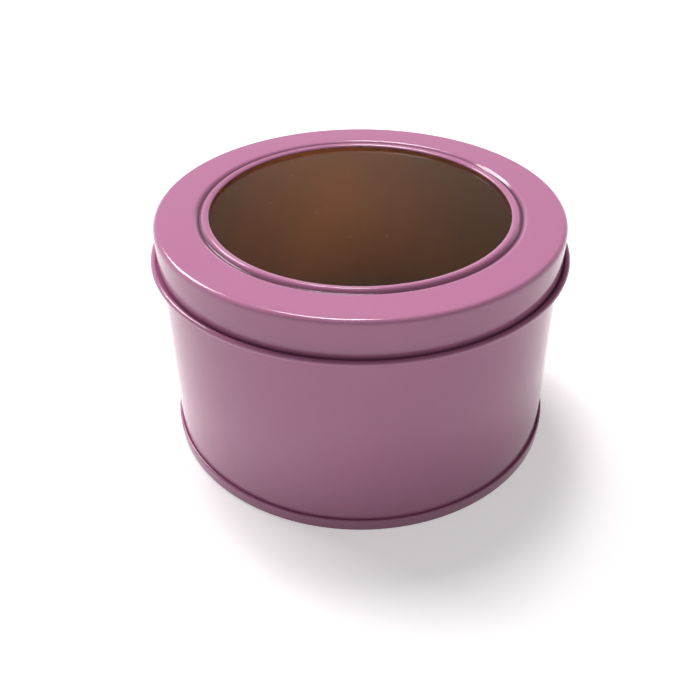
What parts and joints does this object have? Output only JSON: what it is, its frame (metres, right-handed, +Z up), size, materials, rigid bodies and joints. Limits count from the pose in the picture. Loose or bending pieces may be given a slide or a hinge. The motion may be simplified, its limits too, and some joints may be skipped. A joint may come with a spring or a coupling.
{
  "type": "window lid tin",
  "caption": "Round pressed tin box with a lift-off lid, a clear round window held in the lid, a rolled lid edge and a seamed base.",
  "frame": {"origin": "centre of the foot, on the surface that the tin stands on", "axes": "+Z up along the tin's axis, towards the lid; the side seam of the body is on the +X side"},
  "size_m": [0.106, 0.106, 0.0612],
  "materials": {
    "pink_lacquer": "satin-gloss pink lacquer on tinplate, smooth, with fine orange-peel",
    "inside_lacquer": "clear gold lacquer on tinplate, satin, with fine rolling lines",
    "clear_film": "clear glossy plastic film, slightly wavy"
  },
  "bodies": {
    "tin_body": {"body_wall": "pink_lacquer", "base_plate": "pink_lacquer"},
    "lid": {"lid_shell": "pink_lacquer", "window_pane": "clear_film", "retaining_ring": "inside_lacquer"}
  },
  "joints": [
    {"name": "lid_lift", "type": "slide", "parent": "tin_body", "child": "lid", "axis": [0, 0, 1], "range_m": [0, 0.08]}
  ]
}
